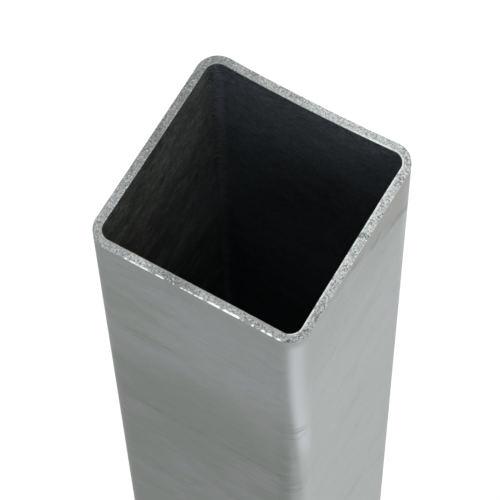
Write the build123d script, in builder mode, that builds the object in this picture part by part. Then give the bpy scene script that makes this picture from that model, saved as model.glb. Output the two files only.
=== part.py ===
"""Welded square hollow section, a one metre cut length standing on its end.

Millimetres, +Z up. The origin is the centre of the lower end, the flat sides face X and Y.
"""

import os

from build123d import *

# Section
OUTER_WIDTH = 100.0
WALL = 4.0
OUTER_CORNER_RADIUS = 10.0
INNER_CORNER_RADIUS = 5.5  # not the outer radius less the wall: the strip thins where it bends
BORE_WIDTH = OUTER_WIDTH - 2 * WALL

# Cut length, with the sharp edge taken off both sawn ends
LENGTH = 1000.0
EDGE_BREAK = 0.3

# Trimmed flash of the lengthwise weld, a low crowned track inside the -Y wall
WELD_TRACK_WIDTH = 4.5
WELD_TRACK_HEIGHT = 0.4
WELD_TRACK_OFFSET = 14.0  # from the middle of the wall, towards +X
WELD_TRACK_ROOT = 0.5  # how far its foot reaches into the wall


with BuildPart() as square_tube:
    # Cold-formed section
    with BuildSketch() as section:
        RectangleRounded(OUTER_WIDTH, OUTER_WIDTH, OUTER_CORNER_RADIUS)
        RectangleRounded(BORE_WIDTH, BORE_WIDTH, INNER_CORNER_RADIUS, mode=Mode.SUBTRACT)
    extrude(amount=LENGTH)

    # Sawn ends: the outer and the inner edge of each are broken
    end_faces = square_tube.faces().sort_by(Axis.Z)
    sawn_edges = end_faces[0].edges() + end_faces[-1].edges()
    chamfer(sawn_edges, length=EDGE_BREAK)

    # Weld track, trimmed back to the edge break at both ends
    with BuildSketch(Plane.XY.offset(EDGE_BREAK)) as weld_section:
        with BuildLine(Location((WELD_TRACK_OFFSET, -BORE_WIDTH / 2))) as weld_outline:
            foot_left = (-WELD_TRACK_WIDTH / 2, 0)
            foot_right = (WELD_TRACK_WIDTH / 2, 0)
            Polyline(
                foot_left,
                (-WELD_TRACK_WIDTH / 2, -WELD_TRACK_ROOT),
                (WELD_TRACK_WIDTH / 2, -WELD_TRACK_ROOT),
                foot_right,
            )
            ThreePointArc(foot_left, (0, WELD_TRACK_HEIGHT), foot_right)
        make_face()
    extrude(amount=LENGTH - 2 * EDGE_BREAK)

square_tube.part.label = "square_tube"

os.makedirs("parts", exist_ok=True)
export_step(square_tube.part, "parts/square_tube.step")
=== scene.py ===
"""A sawn length of galvanised square tube and the plain studio it stands in."""

import math

import bpy
import numpy as np
from bpy.props import FloatProperty, FloatVectorProperty, IntProperty, PointerProperty
from mathutils import Matrix, Vector, noise


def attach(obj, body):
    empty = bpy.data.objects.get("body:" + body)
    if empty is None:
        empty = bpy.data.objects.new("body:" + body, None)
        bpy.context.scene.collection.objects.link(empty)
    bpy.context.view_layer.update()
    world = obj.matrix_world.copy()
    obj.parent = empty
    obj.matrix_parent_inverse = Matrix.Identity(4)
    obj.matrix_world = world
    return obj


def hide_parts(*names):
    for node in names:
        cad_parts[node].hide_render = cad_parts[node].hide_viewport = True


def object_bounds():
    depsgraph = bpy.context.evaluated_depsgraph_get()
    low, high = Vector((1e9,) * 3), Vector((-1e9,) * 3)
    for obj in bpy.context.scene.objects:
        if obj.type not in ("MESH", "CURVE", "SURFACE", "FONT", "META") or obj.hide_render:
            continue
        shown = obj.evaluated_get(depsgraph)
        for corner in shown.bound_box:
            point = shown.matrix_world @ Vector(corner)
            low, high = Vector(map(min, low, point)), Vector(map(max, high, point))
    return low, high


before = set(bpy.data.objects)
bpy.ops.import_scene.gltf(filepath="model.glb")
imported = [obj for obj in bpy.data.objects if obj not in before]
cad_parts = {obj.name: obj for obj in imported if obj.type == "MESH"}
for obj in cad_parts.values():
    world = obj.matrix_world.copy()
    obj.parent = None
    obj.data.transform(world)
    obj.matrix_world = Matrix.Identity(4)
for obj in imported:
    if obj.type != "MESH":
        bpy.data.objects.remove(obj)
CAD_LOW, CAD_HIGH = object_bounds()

bl_info = {
    "name": "Galvanised Square Tube",
    "version": (1, 0, 0),
    "blender": (4, 5, 0),
    "location": "3D View > Sidebar > Square Tube",
    "description": "Builds a sawn length of galvanised square tube and a plain studio for it",
    "category": "Object",
}

CAD_NODE = "square_tube"
MM = 0.001

# Mesh density of the tube wall
FLAT_STEPS = 180
CORNER_STEPS = 36
END_FACE_STEPS = 9
EDGE_STEPS = 2
ROW_GAPS_AT_END = (0.3, 0.5, 1.0, 2.0, 4.0, 8.0)  # mm, widening away from the saw cut
OUTSIDE_ROWS = 30
BORE_ROWS = 22

# Finishes of the mesh, in the order in which the materials are added
ZINC, SAWN, BORE, WELD = range(4)

# A point further out than this lies on that side's wall, corners included
WALL_ZONE = 40 * MM
WELD_TRIM = (0.8 * MM, 5 * MM)  # the weld is ground away here, then runs out to its full height

# Broken edges: least and greatest width as a share of the mean, and feature sizes of their wander
BREAK_RANGE = (0.35, 1.9)
OUTER_WANDER = (3 * MM, 25 * MM)
INNER_WANDER = (4 * MM, 30 * MM)

# Heights at which the noise is read, so that the edges and the two ends don't match
INNER_EDGE_LEVEL = 0.1
LOWER_END_LEVEL = 5.0
LOWER_END_SEED = 40

# Burr on the -Y side, as places along X between which it sets in or runs out. The lower end has X reversed.
HEAVY_BURR_START = (5 * MM, 8 * MM)
THIN_BURR_START = (-36 * MM, -30 * MM)
BURR_END = (39 * MM, 43 * MM)
BURR_GAP = 26.5 * MM
BURR_GAP_EDGE = (0.8 * MM, 2 * MM)
THIN_BURR = 0.35
STRAY_BURR = 0.12

# Saw lines and torn grain: the side on which the blade's centre lay, and feature sizes
BLADE_SIDE = (-0.62, 0.78)
LINE_WANDER_SIZE = 14 * MM
LINE_PATCH_SIZE = 9 * MM
GRAIN_SIZE = 0.9 * MM

# Slow ripple of the faces: its feature size, and how much of the length along the tube it sees
RIPPLE_SIZE = 45 * MM
RIPPLE_LENGTH_SHARE = 0.35

# A chip in the inner edge of the -X wall, at the upper end
CHIP_PLACE = -22.7 * MM
CHIP_WIDTH = 1.7 * MM
CHIP_DEPTH = 1.0 * MM

# Soft marks near the upper end, each a centre and a half size
BLUE_PATCH = ((-0.015, -0.050, 0.964), (0.045, 0.015, 0.028))
OLIVE_PATCH = ((0.000, -0.050, 0.867), (0.060, 0.015, 0.063))
CORNER_RUB_HIGH = ((0.048, -0.047, 0.896), (0.009, 0.009, 0.012))
CORNER_RUB_LOW = ((0.048, -0.047, 0.828), (0.009, 0.009, 0.012))
# The next two are painted light on the +X and +Y sides of the cut and painted shade on its -X side
LIT_CUT_SIDE = ((0.050, 0.050, 1.000), (0.100, 0.100, 0.100))
SHADED_CUT_SIDE = ((-0.050, 0.022, 1.000), (0.050, 0.050, 0.050))
SMOKED_CUT = ((-0.008, -0.047, 1.000), (0.011, 0.006, 0.020))
# More flecks with painted glints here
FLECKED_CUT = ((-0.026, -0.048, 1.000), (0.007, 0.005, 0.020))
# Painted highlight along the inner edge near the +X,+Y corner
LIT_INNER_EDGE = ((0.044, 0.044, 1.000), (0.040, 0.040, 0.040))
BORE_RUB = ((-0.046, 0.012, 0.966), (0.020, 0.035, 0.030))

# Where a finish sets in, from nothing to full: X, Y or depth under the upper cut, in metres
FRONT_FACE = (-0.047, -0.0495)
# The lower -Y face: painted shade darkens it, and olive clouds gather there
FRONT_LOWER = (0.057, 0.152)
SIDE_FACE = (0.047, 0.0495)
# The lower +X face, which is made lighter
SIDE_LOWER = (0.025, 0.088)
SIDE_EVEN = (0.044, 0.0495)
SIDE_RIM = (0.040, 0.045)
FRONT_RIM = (-0.041, -0.045)
BACK_BORE_WALL = (0.0425, 0.0462)
BORE_NEAR_CUT = (0.017, 0.0)
# The next three are painted light in the bore: paler further down, most on the -X wall, and paler near the
# cut
BORE_DEPTH_LIGHT = (0.02, 0.10)
BORE_DEEP_LIGHT = (0.08, 0.15)
BORE_LIT_NEAR_CUT = (0.058, 0.044)

# Painted highlight as a band round each corner, with painted shade on a shoulder to one side of it. It
# wanders from side to side on its way down.
BAND_SWING = 5.15  # mm, half of the way that it wanders
BAND_SWING_LENGTH = 0.379  # m of tube for one swing there and back
BAND_SWING_START = 0.0158  # m under the cut
BAND_TURN_PER_METRE = 30.0  # of X less Y, in radians, so that the corners don't swing together
BAND_OFFSET = 3.8  # mm off the corner's middle
BAND_RISE = (-3.4, 3.0)  # mm across the band
BAND_FALL = (14.0, 3.0)
BAND_LIMIT = (15.0, 10.5)  # mm off the corner's middle
BAND_UNDER_CUT = (0.003, 0.009)
# Depths over which the painted highlight fades further down, and how much of it goes
BAND_FADE_DEPTH = (0.107, 0.152)
BAND_FADE_SHARE = 0.92
SHOULDER_RISE = (0.5, -2.5)
SHOULDER_LIMIT = (-13.0, -7.0)
SHOULDER_DEPTH = (0.0, 0.10)
NEAR_CORNER = 0.094  # m of X less Y
NEAR_CORNER_BAND = (-0.02, 0.08)
NEAR_CORNER_SHOULDER = (0.02, 0.08)

# Drag lines on the -Y face, in mm: depth under the cut, left end and right end
DRAG_LINES = ((74.5, -40.0, -8.0), (157.5, -44.0, 46.0), (238.0, -34.0, -2.0))
DRAG_WAVE = 8.0
DRAG_TWIN_GAP = 4.2
DRAG_RUN_OUT = 6.0
DRAG_FACE = (-0.047, -0.049)

# Stain under the cut of the +X face, in mm: how its lower side slopes, and how ragged it is
STAIN_SLOPE = 0.63
STAIN_MIDDLE = 8.9
STAIN_LEAST = 6.3
STAIN_RAGGED = 14.0
STAIN_START = (-24.0, -8.0)
STAIN_FADE = (7.0, -6.0)
STAIN_RUN = (5.5, 0.0)
STAIN_FACE = (0.049, 0.0495)

# Studio
FLOOR_GLOW = 0.84  # what the floor adds where it is seen, so that it shows white
LAMP_AIM_DEPTH = 0.07
KEY_LAMP_PLACE = (1.8, -0.2, 2.2)
KEY_LAMP_SIZE = 1.8
FRONT_LAMP_PLACE = (-0.3, -2.0, 1.9)
FRONT_LAMP_SIZE = 0.6


# ---------------------------------------------------------------- settings


def length(label, about, default, low=0.0, high=10.0):
    """A length in metres, shown in the scene's own unit."""
    return FloatProperty(
        name=label, description=about, default=default, min=low, max=high, precision=5, unit="LENGTH"
    )


def colour(label, about, default):
    """A linear RGB colour."""
    return FloatVectorProperty(
        name=label, description=about, default=default, min=0.0, max=1.0, size=3, subtype="COLOR"
    )


def power(label, about, default):
    """The power of a lamp in watts."""
    return FloatProperty(name=label, description=about, default=default, min=0.0, unit="POWER")


def angle(label, about, degrees):
    """An angle, given in degrees."""
    return FloatProperty(name=label, description=about, default=math.radians(degrees), subtype="ANGLE")


def share(label, about, default):
    """A number from 0 to 1."""
    return FloatProperty(name=label, description=about, default=default, min=0.0, max=1.0, subtype="FACTOR")


class TubeSizes(bpy.types.PropertyGroup):
    """Section and cut length."""

    outer_width: length("Outer Width", "Width over the flats", CAD_HIGH.x - CAD_LOW.x)
    cut_length: length("Cut Length", "Length between the sawn ends", CAD_HIGH.z - CAD_LOW.z)
    wall: length("Wall", "Thickness of the flat walls", 4 * MM)
    outer_radius: length("Outer Corner", "Radius of the outer corners", 10 * MM)
    inner_radius: length("Inner Corner", "Radius of the corners in the bore", 5.5 * MM)
    edge_break: length("Edge Break", "Mean width of the broken edges at the saw cuts", 0.3 * MM)
    weld_width: length("Weld Width", "Width of the trimmed weld inside the bore", 4.5 * MM)
    weld_height: length("Weld Height", "Height of the trimmed weld", 0.4 * MM)
    weld_offset: length("Weld Offset", "Distance of the weld from the middle of its wall", 14 * MM)
    face_hollow: length("Face Hollow", "How far the flat faces dish in between the corners", 0.1 * MM)
    back_hollow: length("Back Hollow", "How much further the +Y face dishes in", 0.7 * MM)
    face_ripple: length("Face Ripple", "Slow unevenness left by the forming rolls", 0.06 * MM)


class SawCut(bpy.types.PropertyGroup):
    """What the saw left on both ends."""

    line_pitch: length("Line Pitch", "Spacing of the saw lines", 1.3 * MM)
    line_depth: length("Line Depth", "Depth of the saw lines", 0.035 * MM)
    line_bow: length("Blade Radius", "Radius of the arcs that the blade left", 0.26)
    grain_depth: length("Grain Depth", "Depth of the torn grain between the lines", 0.04 * MM)
    lip_height: length("Lip Height", "Height of the burr that stands along the edges", 0.14 * MM)
    raggedness: share("Raggedness", "How much the broken edges vary in width", 0.55)
    seed: IntProperty(name="Seed", description="Picks another pattern of wear", default=7, min=0)


class Finish(bpy.types.PropertyGroup):
    """Colours of the zinc, the cut steel and the bore."""

    zinc: colour("Zinc", "Dull zinc of the outer faces", (0.508, 0.540, 0.533))
    zinc_blue: colour("Blue Cast", "Cooler patches in the zinc", (0.525, 0.558, 0.575))
    zinc_olive: colour("Olive Cast", "Warmer, weathered patches in the zinc", (0.408, 0.450, 0.408))
    # Painted highlight of the corner bands, not a colour of the zinc itself
    painted_corner_highlight: colour("Burnish", "Zinc rubbed bright along the corners", (0.770, 0.810, 0.848))
    stain: colour("Stain", "Brown stain under the saw cut", (0.40, 0.388, 0.352))
    stain_dark: colour("Dark Stain", "Darker run in the stain, and rub marks", (0.24, 0.235, 0.215))
    cut_steel: colour("Cut Steel", "Freshly sawn steel", (0.548, 0.590, 0.587))
    cut_warm: colour("Cut Warm", "Smeared steel along the inner side of the cut", (0.575, 0.590, 0.572))
    cut_dark: colour("Cut Dark", "Pits torn in the sawn steel", (0.14, 0.15, 0.15))
    # White of the painted glints and highlights on bare steel: the burr, the inner edge on the lit side and
    # the flecks
    glint_white: colour("Bright Edge", "Burr, rubbed edges and bright flecks", (0.93, 0.94, 0.93))
    warm_edge: colour("Warm Edge", "Inner edge of the saw cut", (0.60, 0.55, 0.47))
    bore: colour("Bore", "Uncoated mill scale inside", (0.0325, 0.0355, 0.0325))
    # Blue cast of the +Y bore wall, made paler than the scale partly as painted light
    bore_blue_lit: colour("Bore Blue", "Cooler scale on the +Y wall", (0.128, 0.150, 0.178))
    bore_streak: colour("Bore Streak", "Rubbed streaks inside", (0.080, 0.087, 0.078))


class Studio(bpy.types.PropertyGroup):
    """Floor, lamps and camera."""

    floor_size: length("Floor Size", "Side of the square floor", 12.0, high=100.0)
    floor_colour: colour("Floor Colour", "Pale floor", (0.80, 0.80, 0.80))
    sky_strength: FloatProperty(name="Sky", description="Strength of the even light", default=0.115, min=0.0)
    key_strength: power("Key Lamp", "Power of the key lamp", 22.0)
    front_strength: power("Front Lamp", "Power of the front lamp", 1.4)
    camera_azimuth: angle("Camera Azimuth", "Direction of the camera, from the -Y side", 31.77)
    camera_elevation: angle("Camera Elevation", "Height of the camera above the horizon", 65.35)
    camera_roll: angle("Camera Roll", "Turn of the camera about its own axis", 1.82)
    camera_distance: length("Camera Distance", "Distance from the camera to its aim", 1.0769)
    camera_aim: FloatVectorProperty(
        name="Camera Aim",
        description="Point that the camera looks at, in the plane of the upper end",
        default=(0.0113, -0.0217),
        size=2,
        unit="LENGTH",
    )
    lens: FloatProperty(name="Lens", description="Focal length in millimetres", default=193.26, unit="CAMERA")


# ---------------------------------------------------------------- tube shape


def rounded_square(width, radius):
    """Points of a rounded square and their outward normals, from the -Y side round towards +X."""
    half = width / 2
    reach = half - radius
    points = []
    normals = []
    for quarter in range(4):
        turn = Matrix.Rotation(math.radians(90 * quarter), 2)
        for step in range(FLAT_STEPS):
            points.append(turn @ Vector((reach * (2 * step / FLAT_STEPS - 1), -half)))
            normals.append(turn @ Vector((0, -1)))
        for step in range(CORNER_STEPS):
            angle = math.radians(90 * step / CORNER_STEPS - 90)
            outward = Vector((math.cos(angle), math.sin(angle)))
            points.append(turn @ (Vector((reach, -reach)) + radius * outward))
            normals.append(turn @ outward)
    return np.array(points), np.array(normals)


def weld_crown(sizes, points):
    """How far the trimmed weld stands off each point of the bore. It runs along the -Y wall."""
    off_weld = (points[:, 0] - sizes.weld_offset) / (sizes.weld_width / 2)
    on_weld_wall = points[:, 1] < -(sizes.outer_width / 2 - sizes.wall) + MM
    return np.where(on_weld_wall, sizes.weld_height * np.clip(1 - off_weld**2, 0, None), 0)


def wall_heights(sizes, rows):
    """Heights of the rings along a wall, close together near both saw cuts."""
    clear_of_edge = sizes.edge_break * 2
    near_end = [clear_of_edge]
    for gap in ROW_GAPS_AT_END:
        near_end.append(near_end[-1] + gap * MM)
    near_end = np.array(near_end)
    middle = np.linspace(near_end[-1], sizes.cut_length - near_end[-1], rows)[1:-1]
    return np.concatenate([near_end, middle, sizes.cut_length - near_end[::-1]])


def noise_along(points, scale, seed, depth=3):
    """Fractal noise from about -1 to 1 at each point, at a feature size given in metres."""
    offset = Vector((seed * 3.7, seed * 1.3, seed * 2.1))
    return np.array(
        [noise.fractal(Vector(point) / scale + offset, 1.0, 2.0, depth) for point in points]
    )


def smooth(values, low, high):
    """0 below low, 1 above high, and a smooth step between."""
    t = np.clip((np.asarray(values) - low) / (high - low), 0, 1)
    return t * t * (3 - 2 * t)


def lip_strength(points, seed, upper):
    """How much burr stands along the outer edge, from 0 to 1. Most of it is on the -Y side."""
    broken = smooth(noise_along(points, 1.6 * MM, seed), -0.30, 0.20)
    x = points[:, 0] if upper else -points[:, 0]
    heavy = smooth(x, *HEAVY_BURR_START) * (1 - smooth(x, *BURR_END))
    off_gap = smooth(np.abs(x - BURR_GAP), *BURR_GAP_EDGE)
    thin = THIN_BURR * smooth(x, *THIN_BURR_START) * (1 - smooth(x, *BURR_END))
    on_front_wall = points[:, 1] < -WALL_ZONE
    placed = np.where(on_front_wall, np.maximum(heavy * off_gap, thin), 0)
    return np.clip(broken * (STRAY_BURR + placed), 0, 1)


def saw_relief(points, cut, seed):
    """Depth of the saw lines and torn grain at points of a sawn face, in metres."""
    centre = cut.line_bow * np.array(BLADE_SIDE)
    from_blade = np.hypot(points[:, 0] - centre[0], points[:, 1] - centre[1])
    wander = noise_along(points, LINE_WANDER_SIZE, seed + 2) * cut.line_pitch * 0.8
    phase = (from_blade + wander) / cut.line_pitch * 2 * math.pi
    strength = 0.5 + 0.5 * noise_along(points, LINE_PATCH_SIZE, seed + 3)
    lines = cut.line_depth * np.clip(strength, 0, 1) * (0.5 + 0.5 * np.sin(phase))
    torn = 0.5 + 0.5 * noise_along(points, GRAIN_SIZE, seed + 4)
    return lines + cut.grain_depth * np.clip(torn, 0, 1)


def broken_edge(sizes, cut, edge, wander_sizes, seed):
    """Width of a broken edge at each of its points. It wanders at a fine and at a slow size."""
    fine, slow = wander_sizes
    wander = noise_along(edge, fine, seed) * 0.7 + noise_along(edge, slow, seed + 1) * 0.6
    return sizes.edge_break * np.clip(1 + cut.raggedness * wander, *BREAK_RANGE)


def end_rows(sizes, cut, outer, inner, upper):
    """Rings over one sawn end, outside to bore. Each holds shares across the wall, heights and burr."""
    seed = cut.seed + (0 if upper else LOWER_END_SEED)
    outer_edge = np.column_stack([outer, np.full(len(outer), 0.0)])
    inner_edge = np.column_stack([inner, np.full(len(inner), INNER_EDGE_LEVEL)])
    break_out = broken_edge(sizes, cut, outer_edge, OUTER_WANDER, seed)
    break_in = broken_edge(sizes, cut, inner_edge, INNER_WANDER, seed)
    if upper:
        off_chip = (inner_edge[:, 1] - CHIP_PLACE) / (CHIP_WIDTH / 2)
        on_chip_wall = inner_edge[:, 0] < -WALL_ZONE
        break_in = break_in + np.where(on_chip_wall, CHIP_DEPTH * np.exp(-off_chip**4), 0)
    lip = lip_strength(outer_edge, seed + 5, upper)
    rows = []
    for step in range(EDGE_STEPS + 1):
        turn = math.radians(90 * step / EDGE_STEPS)
        across = break_out / sizes.wall * (1 - math.cos(turn))
        rows.append((across, break_out * (1 - math.sin(turn)), lip))
    for step in range(1, END_FACE_STEPS):
        t = step / END_FACE_STEPS
        across = (break_out * (1 - t) + (sizes.wall - break_in) * t) / sizes.wall
        rows.append((across, np.zeros(len(outer)), lip * max(0.0, 1 - 4 * t)))
    for step in range(EDGE_STEPS + 1):
        turn = math.radians(90 * step / EDGE_STEPS)
        across = 1 - break_in / sizes.wall * (1 - math.sin(turn))
        rows.append((across, break_in * (1 - math.cos(turn)), np.zeros(len(outer))))
    ring = []
    for across, below, row_lip in rows:
        flat = outer * (1 - across[:, None]) + inner * across[:, None]
        face = np.column_stack([flat, np.full(len(flat), 0.0 if upper else LOWER_END_LEVEL)])
        relief = saw_relief(face, cut, seed) * smooth(1 - below / sizes.edge_break, 0.0, 1.0)
        depth = below + relief + cut.lip_height * (1 - row_lip)
        height = sizes.cut_length - depth if upper else depth
        ring.append((across, height, row_lip))
    return ring if upper else ring[::-1]


def tube_rings(sizes, cut, outer, inner):
    """All rings in order round the wall: up the outside, over the top, down the bore, under the foot."""
    whole = np.ones(len(outer))
    rings = [(whole * 0, whole * z, whole * 0, ZINC) for z in wall_heights(sizes, OUTSIDE_ROWS)]
    rings += [(*row, SAWN) for row in end_rows(sizes, cut, outer, inner, True)]
    rings += [(whole, whole * z, whole * 0, BORE) for z in wall_heights(sizes, BORE_ROWS)[::-1]]
    rings += [(*row, SAWN) for row in end_rows(sizes, cut, outer, inner, False)]
    return rings


def wall_faces(rings, crown):
    """The four-sided faces between the rings, and the finish of each."""
    count = len(crown)
    faces = []
    finishes = []
    for ring in range(len(rings)):
        above = (ring + 1) % len(rings)
        kinds = {rings[ring][3], rings[above][3]}
        for column in range(count):
            beside = (column + 1) % count
            corners = ((ring, column), (ring, beside), (above, beside), (above, column))
            faces.append([row * count + place for row, place in corners])
            if SAWN in kinds:
                finishes.append(SAWN)
            elif BORE in kinds:
                finishes.append(WELD if crown[column] + crown[beside] > 0 else BORE)
            else:
                finishes.append(ZINC)
    return faces, finishes


def tube_mesh(sizes, cut):
    """The whole tube as one closed mesh, with its across and lip values stored on the points."""
    outer, normals = rounded_square(sizes.outer_width, sizes.outer_radius)
    inner, _ = rounded_square(sizes.outer_width - 2 * sizes.wall, sizes.inner_radius)
    crown = weld_crown(sizes, inner)
    rings = tube_rings(sizes, cut, outer, inner)
    reach = sizes.outer_width / 2 - sizes.outer_radius
    along_face = np.where(np.abs(normals[:, 0]) > 0.5, outer[:, 1], outer[:, 0])
    hollow = sizes.face_hollow + sizes.back_hollow * (normals[:, 1] > 0.99)
    dish = hollow * np.clip(1 - (along_face / reach) ** 2, 0, 1)
    flatness = smooth(1 - np.abs(along_face) / reach, 0.0, 0.4)

    places = []
    across_values = []
    lip_values = []
    for across, height, lip, _ in rings:
        flat = outer * (1 - across[:, None]) + inner * across[:, None]
        place = np.column_stack([flat, height])
        slow = np.column_stack([outer, height * RIPPLE_LENGTH_SHARE])
        waves = 0.5 + 0.5 * noise_along(slow, RIPPLE_SIZE, cut.seed, 2)
        ripple = sizes.face_ripple * flatness * waves
        place[:, :2] -= normals * (dish + np.clip(ripple, 0, None))[:, None]
        from_cut = np.minimum(height, sizes.cut_length - height)
        place[:, 1] += crown * smooth(from_cut, *WELD_TRIM) * (across == 1)
        places.append(place)
        across_values.append(across)
        lip_values.append(lip)
    faces, finishes = wall_faces(rings, crown)
    mesh = bpy.data.meshes.new("tube_wall")
    mesh.from_pydata(np.concatenate(places).tolist(), [], faces)
    mesh.polygons.foreach_set("material_index", finishes)
    mesh.polygons.foreach_set("use_smooth", [True] * len(faces))
    for name, values in (("across", across_values), ("lip", lip_values)):
        attribute = mesh.attributes.new(name, "FLOAT", "POINT")
        attribute.data.foreach_set("value", np.concatenate(values).astype(np.float32))
    mesh.validate()
    mesh.update()
    return mesh


# ---------------------------------------------------------------- materials


class Recipe:
    """Adds and links the nodes of one material, or of the sky."""

    def __init__(self, owner, output):
        owner.use_nodes = True
        self.owner = owner
        self.tree = owner.node_tree
        self.tree.nodes.clear()
        self.output = self.add(output)
        self.coordinates = None

    def add(self, kind, inputs=None, **settings):
        """A new node with its settings and inputs. An input is a plain value or another node's output."""
        node = self.tree.nodes.new(kind)
        for key, value in settings.items():
            setattr(node, key, value)
        for key, value in (inputs or {}).items():
            if isinstance(value, bpy.types.NodeSocket):
                self.tree.links.new(value, node.inputs[key])
            else:
                node.inputs[key].default_value = value
        return node

    def close(self, surface):
        """Links the last shader to the output, and hands back the finished material or sky."""
        self.tree.links.new(surface, self.output.inputs[0])
        return self.owner

    def math(self, operation, first, second=0.0, third=0.0):
        """One sum of two values, or of three where the operation takes them."""
        return self.add("ShaderNodeMath", {0: first, 1: second, 2: third}, operation=operation).outputs[0]

    def vector(self, operation, first, second=(0, 0, 0)):
        """The outputs of one sum of vectors."""
        return self.add("ShaderNodeVectorMath", {0: first, 1: second}, operation=operation).outputs

    def plus(self, first, second):
        """Two values added."""
        return self.math("ADD", first, second)

    def minus(self, first, second):
        """The first value less the second."""
        return self.math("SUBTRACT", first, second)

    def times(self, first, second):
        """Two values multiplied."""
        return self.math("MULTIPLY", first, second)

    def most(self, first, second):
        """The larger of two values."""
        return self.math("MAXIMUM", first, second)

    def unsigned(self, value):
        """A value without its sign."""
        return self.math("ABSOLUTE", value)

    def in_mm(self, value):
        """Metres turned into millimetres."""
        return self.math("DIVIDE", value, MM)

    def fade(self, mask, amount):
        """1 where a mask is 0, and less by an amount where it is 1."""
        return self.minus(1.0, self.times(mask, amount))

    def between(self, mask, at_none, at_full):
        """One value where a mask is 0 and another where it is 1."""
        return self.math("MULTIPLY_ADD", mask, at_full - at_none, at_none)

    def swing(self, cloud, amount):
        """Noise that swings about 0, by half an amount each way."""
        return self.times(self.minus(cloud, 0.5), amount)

    def step(self, value, none_at, full_at):
        """0 at one limit, 1 at the other, and a smooth step between. Either limit can be the larger."""
        limits = {"Value": value, "From Min": none_at, "From Max": full_at}
        return self.add("ShaderNodeMapRange", limits, interpolation_type="SMOOTHSTEP").outputs[0]

    def place(self):
        """Where the point lies on the object, in metres."""
        if self.coordinates is None:
            self.coordinates = self.add("ShaderNodeTexCoord")
        return self.coordinates.outputs["Object"]

    def axis(self, letter):
        """One coordinate of the point, in metres."""
        return self.add("ShaderNodeSeparateXYZ", {0: self.place()}).outputs[letter]

    def depth(self, sizes):
        """How far the point lies under the upper cut, in metres."""
        return self.minus(sizes.cut_length, self.axis("Z"))

    def stored(self, name):
        """A value stored on the mesh."""
        return self.add("ShaderNodeAttribute", attribute_name=name).outputs["Fac"]

    def noise(self, size, detail=2.0, stretch=(1, 1, 1), rough=0.5, bend=0.0, shift=0.0):
        """Cloudy noise with features of a size in millimetres, longer along axes of larger stretch."""
        scaled = self.vector("MULTIPLY", self.place(), [1 / (size * MM * way) for way in stretch])[0]
        moved = self.vector("ADD", scaled, (shift, shift, shift))[0]
        inputs = {"Vector": moved, "Scale": 1.0, "Detail": detail, "Roughness": rough, "Distortion": bend}
        return self.add("ShaderNodeTexNoise", inputs).outputs["Fac"]

    def around(self, centre, size):
        """1 at the centre of a soft patch and 0 outside it. Centre and half size are in metres."""
        moved = self.vector("SUBTRACT", self.place(), centre)[0]
        scaled = self.vector("MULTIPLY", moved, [1 / side for side in size])[0]
        return self.step(self.vector("LENGTH", scaled)["Value"], 1.0, 0.35)

    def blend(self, amount, under, over):
        """One colour over another. Each is a plain colour or another node's output."""
        under, over = (
            tint if isinstance(tint, bpy.types.NodeSocket) else (*tint, 1.0) for tint in (under, over)
        )
        return self.add("ShaderNodeMix", {0: amount, 6: under, 7: over}, data_type="RGBA").outputs[2]

    def shade(self, tint, amount):
        """A colour made lighter or darker by a factor about 1."""
        grey = self.add("ShaderNodeCombineXYZ", {0: amount, 1: amount, 2: amount}).outputs[0]
        return self.vector("MULTIPLY", tint, grey)[0]

    def bump(self, height, relief, before=None):
        """A normal bent by a height from 0 to 1, whose full relief is in metres."""
        inputs = {"Height": height, "Distance": relief, "Strength": 1.0}
        if before is not None:
            inputs["Normal"] = before
        return self.add("ShaderNodeBump", inputs).outputs[0]

    def finish(self, **sockets):
        """Closes the material with one metal shader."""
        inputs = {key.replace("_", " "): value for key, value in sockets.items()}
        return self.close(self.add("ShaderNodeBsdfPrincipled", inputs).outputs[0])

    def seen(self):
        """1 where the camera, a reflection or a see-through surface meets it, and 0 where it only lights."""
        path = self.add("ShaderNodeLightPath").outputs
        return self.most(self.most(path["Is Camera Ray"], path["Is Glossy Ray"]), path["Is Transmission Ray"])


def new_material(name):
    """An empty recipe for a material."""
    return Recipe(bpy.data.materials.new(name), "ShaderNodeOutputMaterial")


def corner_highlight_masks(r, sizes):
    """The painted highlight that wanders round each corner as a band, and the painted shade on the shoulder
    to one side of it.
    """
    off_corner = r.in_mm(r.minus(r.unsigned(r.axis("X")), r.unsigned(r.axis("Y"))))
    depth = r.depth(sizes)
    towards_near = r.minus(r.axis("X"), r.axis("Y"))
    turn = r.times(r.minus(depth, BAND_SWING_START), 2 * math.pi / BAND_SWING_LENGTH)
    turn = r.plus(turn, r.times(r.minus(towards_near, NEAR_CORNER), BAND_TURN_PER_METRE))
    wander = r.times(r.minus(1.0, r.math("COSINE", turn)), BAND_SWING)
    off_band = r.minus(off_corner, r.minus(wander, BAND_OFFSET))

    band = r.times(r.step(off_band, *BAND_RISE), r.step(off_band, *BAND_FALL))
    band = r.times(band, r.step(off_corner, *BAND_LIMIT))
    band = r.times(band, r.fade(r.step(depth, *BAND_FADE_DEPTH), BAND_FADE_SHARE))
    band = r.times(band, r.between(r.step(depth, *BAND_UNDER_CUT), 0.2, 1.0))
    band = r.times(band, r.between(r.step(towards_near, *NEAR_CORNER_BAND), 0.25, 1.0))

    shoulder = r.times(r.step(off_band, *SHOULDER_RISE), r.step(off_corner, *SHOULDER_LIMIT))
    shoulder = r.times(shoulder, r.step(depth, *SHOULDER_DEPTH))
    shoulder = r.times(shoulder, r.step(towards_near, *NEAR_CORNER_SHOULDER))
    return band, shoulder


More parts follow.
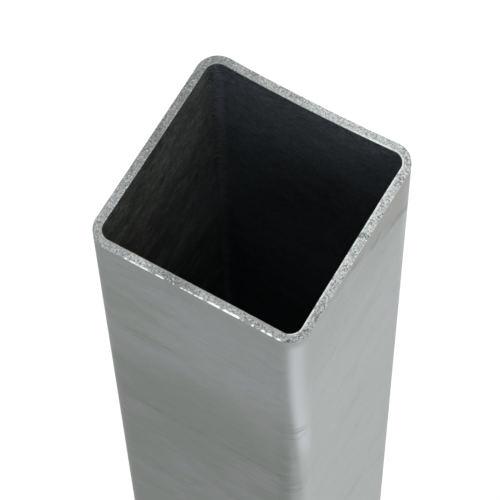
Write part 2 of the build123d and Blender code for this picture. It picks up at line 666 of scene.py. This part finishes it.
def drag_lines(r, sizes):
    """Faint wavy lines that cross the -Y face, each with a weaker twin beside it."""
    depth = r.in_mm(r.depth(sizes))
    along = r.in_mm(r.axis("X"))
    wobble = r.swing(r.noise(9, 3, rough=0.6, shift=17.0), DRAG_WAVE)
    lines = []
    for course, left, right in DRAG_LINES:
        off_line = r.plus(r.minus(depth, course), wobble)
        line = r.step(r.unsigned(off_line), 1.7, 0.3)
        twin = r.step(r.unsigned(r.minus(off_line, DRAG_TWIN_GAP)), 1.3, 0.2)
        line = r.most(line, r.times(twin, 0.6))
        line = r.times(line, r.step(along, left, left + DRAG_RUN_OUT))
        lines.append(r.times(line, r.step(along, right, right - DRAG_RUN_OUT)))
    every_line = r.most(r.most(lines[0], lines[1]), lines[2])
    broken = r.step(r.noise(5, shift=19.0), 0.32, 0.50)
    return r.times(r.times(every_line, broken), r.step(r.axis("Y"), *DRAG_FACE))


def stain_masks(r, sizes):
    """A brownish wedge under the cut of the +X face, and the darker run along its lower side."""
    along = r.in_mm(r.axis("Y"))
    ragged = r.swing(r.noise(7, 4, rough=0.6, bend=0.5, shift=8.0), STAIN_RAGGED)
    slant = r.most(r.math("MULTIPLY_ADD", along, STAIN_SLOPE, STAIN_MIDDLE), STAIN_LEAST)
    below = r.minus(r.in_mm(r.depth(sizes)), r.plus(slant, ragged))
    on_face = r.times(r.step(r.axis("X"), *STAIN_FACE), r.step(along, *STAIN_START))
    wedge = r.times(r.step(below, *STAIN_FADE), on_face)
    run = r.times(r.step(r.unsigned(below), *STAIN_RUN), on_face)
    cloud = r.step(r.noise(8, 3, (1, 1, 0.7), shift=11.0), 0.36, 0.60)
    return wedge, r.times(run, cloud)


def dull_zinc(finish, sizes):
    """Matt zinc: soft blue and olive patches, streaks across the tube, a painted highlight band round each
    corner with painted shade beside it, and a stain.
    """
    r = new_material("dull_zinc")
    depth = r.depth(sizes)
    lower_front = r.times(r.step(r.axis("Y"), *FRONT_FACE), r.step(depth, *FRONT_LOWER))
    on_side = r.times(r.step(r.axis("X"), *SIDE_FACE), r.step(depth, *SIDE_LOWER))
    even = r.fade(r.step(r.axis("X"), *SIDE_EVEN), 0.55)

    # Blue and olive patches
    blue = r.most(r.step(r.noise(34, 3, (1, 1, 0.55)), 0.50, 0.68), r.around(*BLUE_PATCH))
    olive = r.step(r.noise(52, 3, (1.3, 1.3, 0.6), shift=4.0), 0.50, 0.70)
    olive = r.most(olive, r.around(*OLIVE_PATCH))
    cloud = r.step(r.noise(17, 4, (1.8, 1.8, 1), rough=0.6, shift=27.0), 0.38, 0.58)
    olive = r.most(olive, r.times(lower_front, r.between(cloud, 0.3, 1.0)))
    tint = r.blend(r.times(blue, even), finish.zinc, finish.zinc_blue)
    tint = r.blend(r.times(r.times(olive, 0.8), even), tint, finish.zinc_olive)

    # Light and dark: clouds, streaks across the tube, grain and scratches, the +X face lighter further down,
    # and painted shade that darkens the -Y face further down
    wide = r.noise(8, 4, (1.9, 1.9, 1), rough=0.6, bend=1.2, shift=1.0)
    fine = r.noise(2.0, 3, (3.5, 3.5, 1), bend=0.7, shift=2.0)
    grain = r.noise(1.1)
    contour = r.noise(15, 2, (3.5, 3.5, 1), bend=0.8, shift=3.0)
    scratch = r.step(r.unsigned(r.minus(contour, 0.5)), 0.020, 0.004)
    scratch = r.times(scratch, r.step(r.noise(16, shift=7.0), 0.45, 0.62))
    level = r.times(r.swing(wide, 0.40), even)
    level = r.plus(level, r.swing(fine, 0.16))
    level = r.plus(level, r.swing(grain, 0.14))
    level = r.minus(level, r.times(scratch, 0.08))
    level = r.minus(level, r.times(drag_lines(r, sizes), 0.16))
    # The +X face lighter further down
    level = r.plus(level, r.times(on_side, 0.12))
    # Painted shade: the -Y face darker further down
    level = r.minus(level, r.times(lower_front, 0.21))
    tint = r.shade(tint, r.plus(level, 1.0))

    # Painted highlight band round the corners, a little glossier there, with painted shade on the shoulder
    # beside it, and rub marks on the near one
    band, shoulder = corner_highlight_masks(r, sizes)
    tint = r.shade(tint, r.fade(shoulder, 0.08))
    tint = r.blend(band, tint, finish.painted_corner_highlight)
    rub = r.step(r.noise(0.9, 2, (14, 14, 1), shift=5.0), 0.50, 0.60)
    rub = r.times(rub, r.most(r.around(*CORNER_RUB_HIGH), r.around(*CORNER_RUB_LOW)))
    tint = r.blend(r.times(rub, 0.4), tint, finish.stain_dark)

    # Stain under the cut
    stain, streak = stain_masks(r, sizes)
    tint = r.blend(r.times(stain, 0.60), tint, finish.stain)
    tint = r.blend(r.times(streak, 0.50), tint, finish.stain_dark)

    relief = r.bump(fine, 0.02 * MM)
    relief = r.bump(grain, 0.01 * MM, relief)
    gloss = r.plus(r.minus(0.52, r.times(band, 0.10)), r.swing(wide, 0.2))
    return r.finish(Base_Color=tint, Roughness=gloss, Metallic=0.25, Specular_IOR_Level=0.25, Normal=relief)


def sawn_steel(finish):
    """The saw cut: coarse bright grain with torn pits, painted light on its +X and +Y sides and painted shade
    on its -X side, flecks and an outer burr lip whose white is painted glint, and an inner edge, warm on the
    -Y side and with a painted highlight on the lit +X side.
    """
    r = new_material("sawn_steel")
    across = r.stored("across")
    lip = r.stored("lip")
    on_side = r.step(r.axis("X"), *SIDE_RIM)

    # Light and dark: grain, flecks and saw lines, calmer where the steel is smeared
    coarse = r.noise(0.85, rough=0.6)
    fleck = r.noise(0.45, 1, shift=3.0)
    broad = r.noise(6, shift=23.0)
    line = r.noise(0.6, 2, (1, 10, 1), shift=6.0)
    smeared = r.times(r.step(across, 0.45, 0.80), r.step(r.noise(12, shift=21.0), 0.38, 0.58))
    level = r.swing(coarse, 2.5)
    level = r.plus(level, r.swing(fleck, 1.6))
    level = r.plus(level, r.swing(broad, 0.7))
    level = r.plus(level, r.swing(line, 0.8))
    level = r.times(level, r.fade(smeared, 0.55))
    level = r.times(level, r.between(on_side, 1.0, 1.35))

    # Painted light on the +X and +Y sides of the rim, painted shade on its -X side, and a smoked patch on the
    # -Y side
    stretch = r.between(r.around(*LIT_CUT_SIDE), 1.0, 1.42)
    stretch = r.minus(stretch, r.times(r.around(*SHADED_CUT_SIDE), 0.35))
    stretch = r.minus(stretch, r.times(r.around(*SMOKED_CUT), 0.30))
    level = r.times(r.most(r.plus(level, 1.0), 0.15), stretch)
    dull_rim = r.times(on_side, r.step(across, 0.22, 0.06))
    level = r.times(level, r.between(dull_rim, 1.0, 0.7))
    tint = r.shade(r.blend(r.times(smeared, 0.6), finish.cut_steel, finish.cut_warm), level)

    # Pits, and flecks of bare steel whose white is painted glint
    pit = r.step(r.noise(1.0, 1, shift=12.0), 0.68, 0.74)
    tint = r.blend(r.times(pit, 0.7), tint, finish.cut_dark)
    torn = r.math("MULTIPLY_ADD", r.around(*FLECKED_CUT), 0.10, r.noise(0.7, 1, shift=15.0))
    glint_fleck = r.times(r.step(torn, 0.62, 0.68), 0.6)
    tint = r.blend(glint_fleck, tint, finish.glint_white)

    # Inner edge, warm on the -Y side, and bare steel with a painted highlight on the lit +X side; the outer
    # lip with painted glints along its burr
    broken = r.step(r.noise(2.5, shift=9.0), 0.34, 0.50)
    inner_line = r.times(r.step(across, 0.74, 0.86), broken)
    warm_side = r.between(r.step(r.axis("Y"), *FRONT_RIM), 0.10, 0.70)
    tint = r.blend(r.times(inner_line, warm_side), tint, finish.warm_edge)
    lit_inner_side = r.most(on_side, r.around(*LIT_INNER_EDGE))
    rubbed = r.times(r.times(inner_line, lit_inner_side), 0.9)
    tint = r.blend(rubbed, tint, finish.glint_white)
    # Painted glints along the burr of the outer lip
    outer_line = r.times(r.step(across, 0.14, 0.04), lip)
    bright = r.most(outer_line, r.step(lip, 0.18, 0.50))
    tint = r.blend(bright, tint, finish.glint_white)

    relief = r.bump(coarse, 0.08 * MM)
    relief = r.bump(fleck, 0.04 * MM, relief)
    gloss = r.plus(r.times(fleck, 0.3), 0.25)
    bare = r.most(bright, r.times(r.most(glint_fleck, rubbed), 0.8))
    metal = r.between(bare, 0.35, 0.95)
    return r.finish(Base_Color=tint, Roughness=gloss, Metallic=metal, Normal=relief)


def mill_scale(finish, sizes, name="mill_scale", lift=1.0):
    """Dark scale in the bore, with rubbed streaks across the tube, a cooler +Y wall made paler partly by
    painted light, and painted light that makes it paler further down and near the cut. A larger lift makes it
    paler.
    """
    r = new_material(name)
    depth = r.depth(sizes)
    on_back = r.step(r.axis("Y"), *BACK_BORE_WALL)

    # Cooler on the +Y wall and paler there, the paleness partly painted light; rubbed in patches elsewhere
    cool = r.most(on_back, r.times(r.step(r.axis("Y"), -0.01, 0.042), 0.20))
    tint = r.blend(cool, finish.bore, finish.bore_blue_lit)
    cloud = r.noise(15, 3, (1.4, 1.4, 0.8), rough=0.6, shift=2.0)
    patch = r.most(r.step(cloud, 0.44, 0.60), r.around(*BORE_RUB))
    patch = r.times(patch, r.fade(on_back, 0.7))
    streak = r.step(r.noise(1.5, 3, (4, 4, 1), rough=0.6, bend=0.9), 0.42, 0.66)
    tint = r.blend(r.times(patch, r.between(streak, 0.25, 1.0)), tint, finish.bore_streak)

    # Light and dark: scratches, specks and clouds, strongest near the cut and calmer on the +Y wall
    scratch = r.noise(0.8, 2, (4, 4, 1), rough=0.6, bend=0.5, shift=8.0)
    speck = r.noise(1.1, 3, rough=0.6, shift=5.0)
    mottle = r.noise(7, 3, (1.5, 1.5, 1), rough=0.6, shift=13.0)
    level = r.swing(scratch, 3.2)
    level = r.plus(level, r.swing(speck, 2.6))
    level = r.plus(level, r.swing(mottle, 1.2))
    level = r.times(level, r.between(on_back, 1.50, 0.55))
    near_cut = r.times(r.step(depth, *BORE_NEAR_CUT), r.between(on_back, 0.30, 0.90))
    level = r.times(level, r.plus(near_cut, 1.0))

    # Painted light, which makes the scale paler further down, most on the -X wall, and paler near the cut
    painted_depth_light = r.times(r.step(depth, *BORE_DEPTH_LIGHT), r.minus(0.9, r.times(on_back, 0.6)))
    level = r.plus(level, painted_depth_light)
    level = r.plus(level, r.times(r.step(depth, *BORE_DEEP_LIGHT), r.between(on_back, 3.8, 0.6)))
    level = r.plus(level, r.times(r.step(depth, *BORE_LIT_NEAR_CUT), 0.22))
    tint = r.shade(tint, r.most(r.plus(level, lift), 0.2))
    relief = r.bump(speck, 0.04 * MM)
    return r.finish(Base_Color=tint, Roughness=0.6, Metallic=0.3, Normal=relief)


def studio_floor(colour_value):
    """A pale floor that shows white to the camera and in reflections where no shadow falls."""
    r = new_material("studio_floor")
    plain = r.add("ShaderNodeBsdfDiffuse", {"Color": (*colour_value, 1.0)}).outputs[0]
    glow = r.add("ShaderNodeEmission", {"Color": (1, 1, 1, 1), "Strength": FLOOR_GLOW}).outputs[0]
    both = r.add("ShaderNodeAddShader", {0: plain, 1: glow}).outputs[0]
    return r.close(r.add("ShaderNodeMixShader", {0: r.seen(), 1: plain, 2: both}).outputs[0])


def studio_sky(strength):
    """Even light for the object, and pure white behind it."""
    r = Recipe(bpy.data.worlds.new("studio_sky"), "ShaderNodeOutputWorld")
    shown = r.add("ShaderNodeMapRange", {"Value": r.seen(), "To Min": strength, "To Max": 1.0}).outputs[0]
    return r.close(r.add("ShaderNodeBackground", {"Color": (1, 1, 1, 1), "Strength": shown}).outputs[0])


# ---------------------------------------------------------------- operators


def add_object(name, data):
    """A new object in the scene."""
    made = bpy.data.objects.new(name, data)
    bpy.context.scene.collection.objects.link(made)
    return made


def aim(item, target, roll=0.0):
    """Turns a lamp or camera to look at a point."""
    look = (Vector(target) - item.location).to_track_quat("-Z", "Y")
    item.rotation_euler = (look.to_matrix() @ Matrix.Rotation(-roll, 3, "Z")).to_euler()


def soft_lamp(name, place, target, size, strength):
    """A square soft box. Its strength is in watts."""
    data = bpy.data.lights.new(name, "AREA")
    data.shape = "SQUARE"
    data.size = size
    data.energy = strength
    lamp = add_object(name, data)
    lamp.location = place
    aim(lamp, target)


def lay_floor(size, colour_value):
    """A square floor under the tube."""
    half = size / 2
    corners = [(-half, -half, 0), (half, -half, 0), (half, half, 0), (-half, half, 0)]
    mesh = bpy.data.meshes.new("studio_floor")
    mesh.from_pydata(corners, [], [(0, 1, 2, 3)])
    mesh.materials.append(studio_floor(colour_value))
    add_object("studio_floor", mesh)


def place_camera(studio):
    """The camera, turned round its aim by the azimuth and the elevation."""
    data = bpy.data.cameras.new("camera")
    data.lens = studio.lens
    camera = add_object("camera", data)
    target = Vector((*studio.camera_aim, CAD_HIGH.z))
    level = math.cos(studio.camera_elevation)
    back = Vector(
        (
            math.sin(studio.camera_azimuth) * level,
            -math.cos(studio.camera_azimuth) * level,
            math.sin(studio.camera_elevation),
        )
    )
    camera.location = target + back * studio.camera_distance
    aim(camera, target, studio.camera_roll)
    return camera


class TUBE_OT_build_tube(bpy.types.Operator):
    """Build the sawn and galvanised tube in place of the plain one"""

    bl_idname = "tube.build_tube"
    bl_label = "Build Tube"

    def execute(self, context):
        sizes = context.scene.tube_sizes
        finish = context.scene.tube_finish
        piece = add_object("tube_wall", tube_mesh(sizes, context.scene.tube_saw_cut))
        for material in (
            dull_zinc(finish, sizes),
            sawn_steel(finish),
            mill_scale(finish, sizes),
            mill_scale(finish, sizes, "trimmed_weld", 2.2),
        ):
            piece.data.materials.append(material)
        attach(piece, "root")
        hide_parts(CAD_NODE)
        return {"FINISHED"}


class TUBE_OT_set_up_studio(bpy.types.Operator):
    """Lay the floor, hang the lamps and place the camera"""

    bl_idname = "tube.set_up_studio"
    bl_label = "Set Up Studio"

    def execute(self, context):
        studio = context.scene.tube_studio
        lay_floor(studio.floor_size, studio.floor_colour)
        context.scene.world = studio_sky(studio.sky_strength)
        top = (0, 0, CAD_HIGH.z - LAMP_AIM_DEPTH)
        soft_lamp("key_lamp", KEY_LAMP_PLACE, top, KEY_LAMP_SIZE, studio.key_strength)
        soft_lamp("front_lamp", FRONT_LAMP_PLACE, top, FRONT_LAMP_SIZE, studio.front_strength)
        context.scene.camera = place_camera(studio)
        context.scene.view_settings.view_transform = "Standard"
        return {"FINISHED"}


class TUBE_PT_sidebar(bpy.types.Panel):
    """Lists the steps and their settings"""

    bl_idname = "TUBE_PT_sidebar"
    bl_label = "Square Tube"
    bl_space_type = "VIEW_3D"
    bl_region_type = "UI"
    bl_category = "Square Tube"

    def draw(self, context):
        scene = context.scene
        for operator, groups in (
            (TUBE_OT_build_tube, (scene.tube_sizes, scene.tube_saw_cut, scene.tube_finish)),
            (TUBE_OT_set_up_studio, (scene.tube_studio,)),
        ):
            box = self.layout.box()
            box.operator(operator.bl_idname)
            for group in groups:
                for name in group.__annotations__:
                    box.prop(group, name)


CLASSES = (
    TubeSizes,
    SawCut,
    Finish,
    Studio,
    TUBE_OT_build_tube,
    TUBE_OT_set_up_studio,
    TUBE_PT_sidebar,
)
GROUPS = {"tube_sizes": TubeSizes, "tube_saw_cut": SawCut, "tube_finish": Finish, "tube_studio": Studio}


def register():
    """Registers the classes and hangs the settings on the scene."""
    for item in CLASSES:
        bpy.utils.register_class(item)
    for name, group in GROUPS.items():
        setattr(bpy.types.Scene, name, PointerProperty(type=group))


def unregister():
    """Takes away what register added."""
    for name in GROUPS:
        delattr(bpy.types.Scene, name)
    for item in reversed(CLASSES):
        bpy.utils.unregister_class(item)


def main():
    """Builds the tube and the studio."""
    register()
    bpy.ops.tube.build_tube()
    bpy.ops.tube.set_up_studio()


if __name__ == "__main__":
    main()
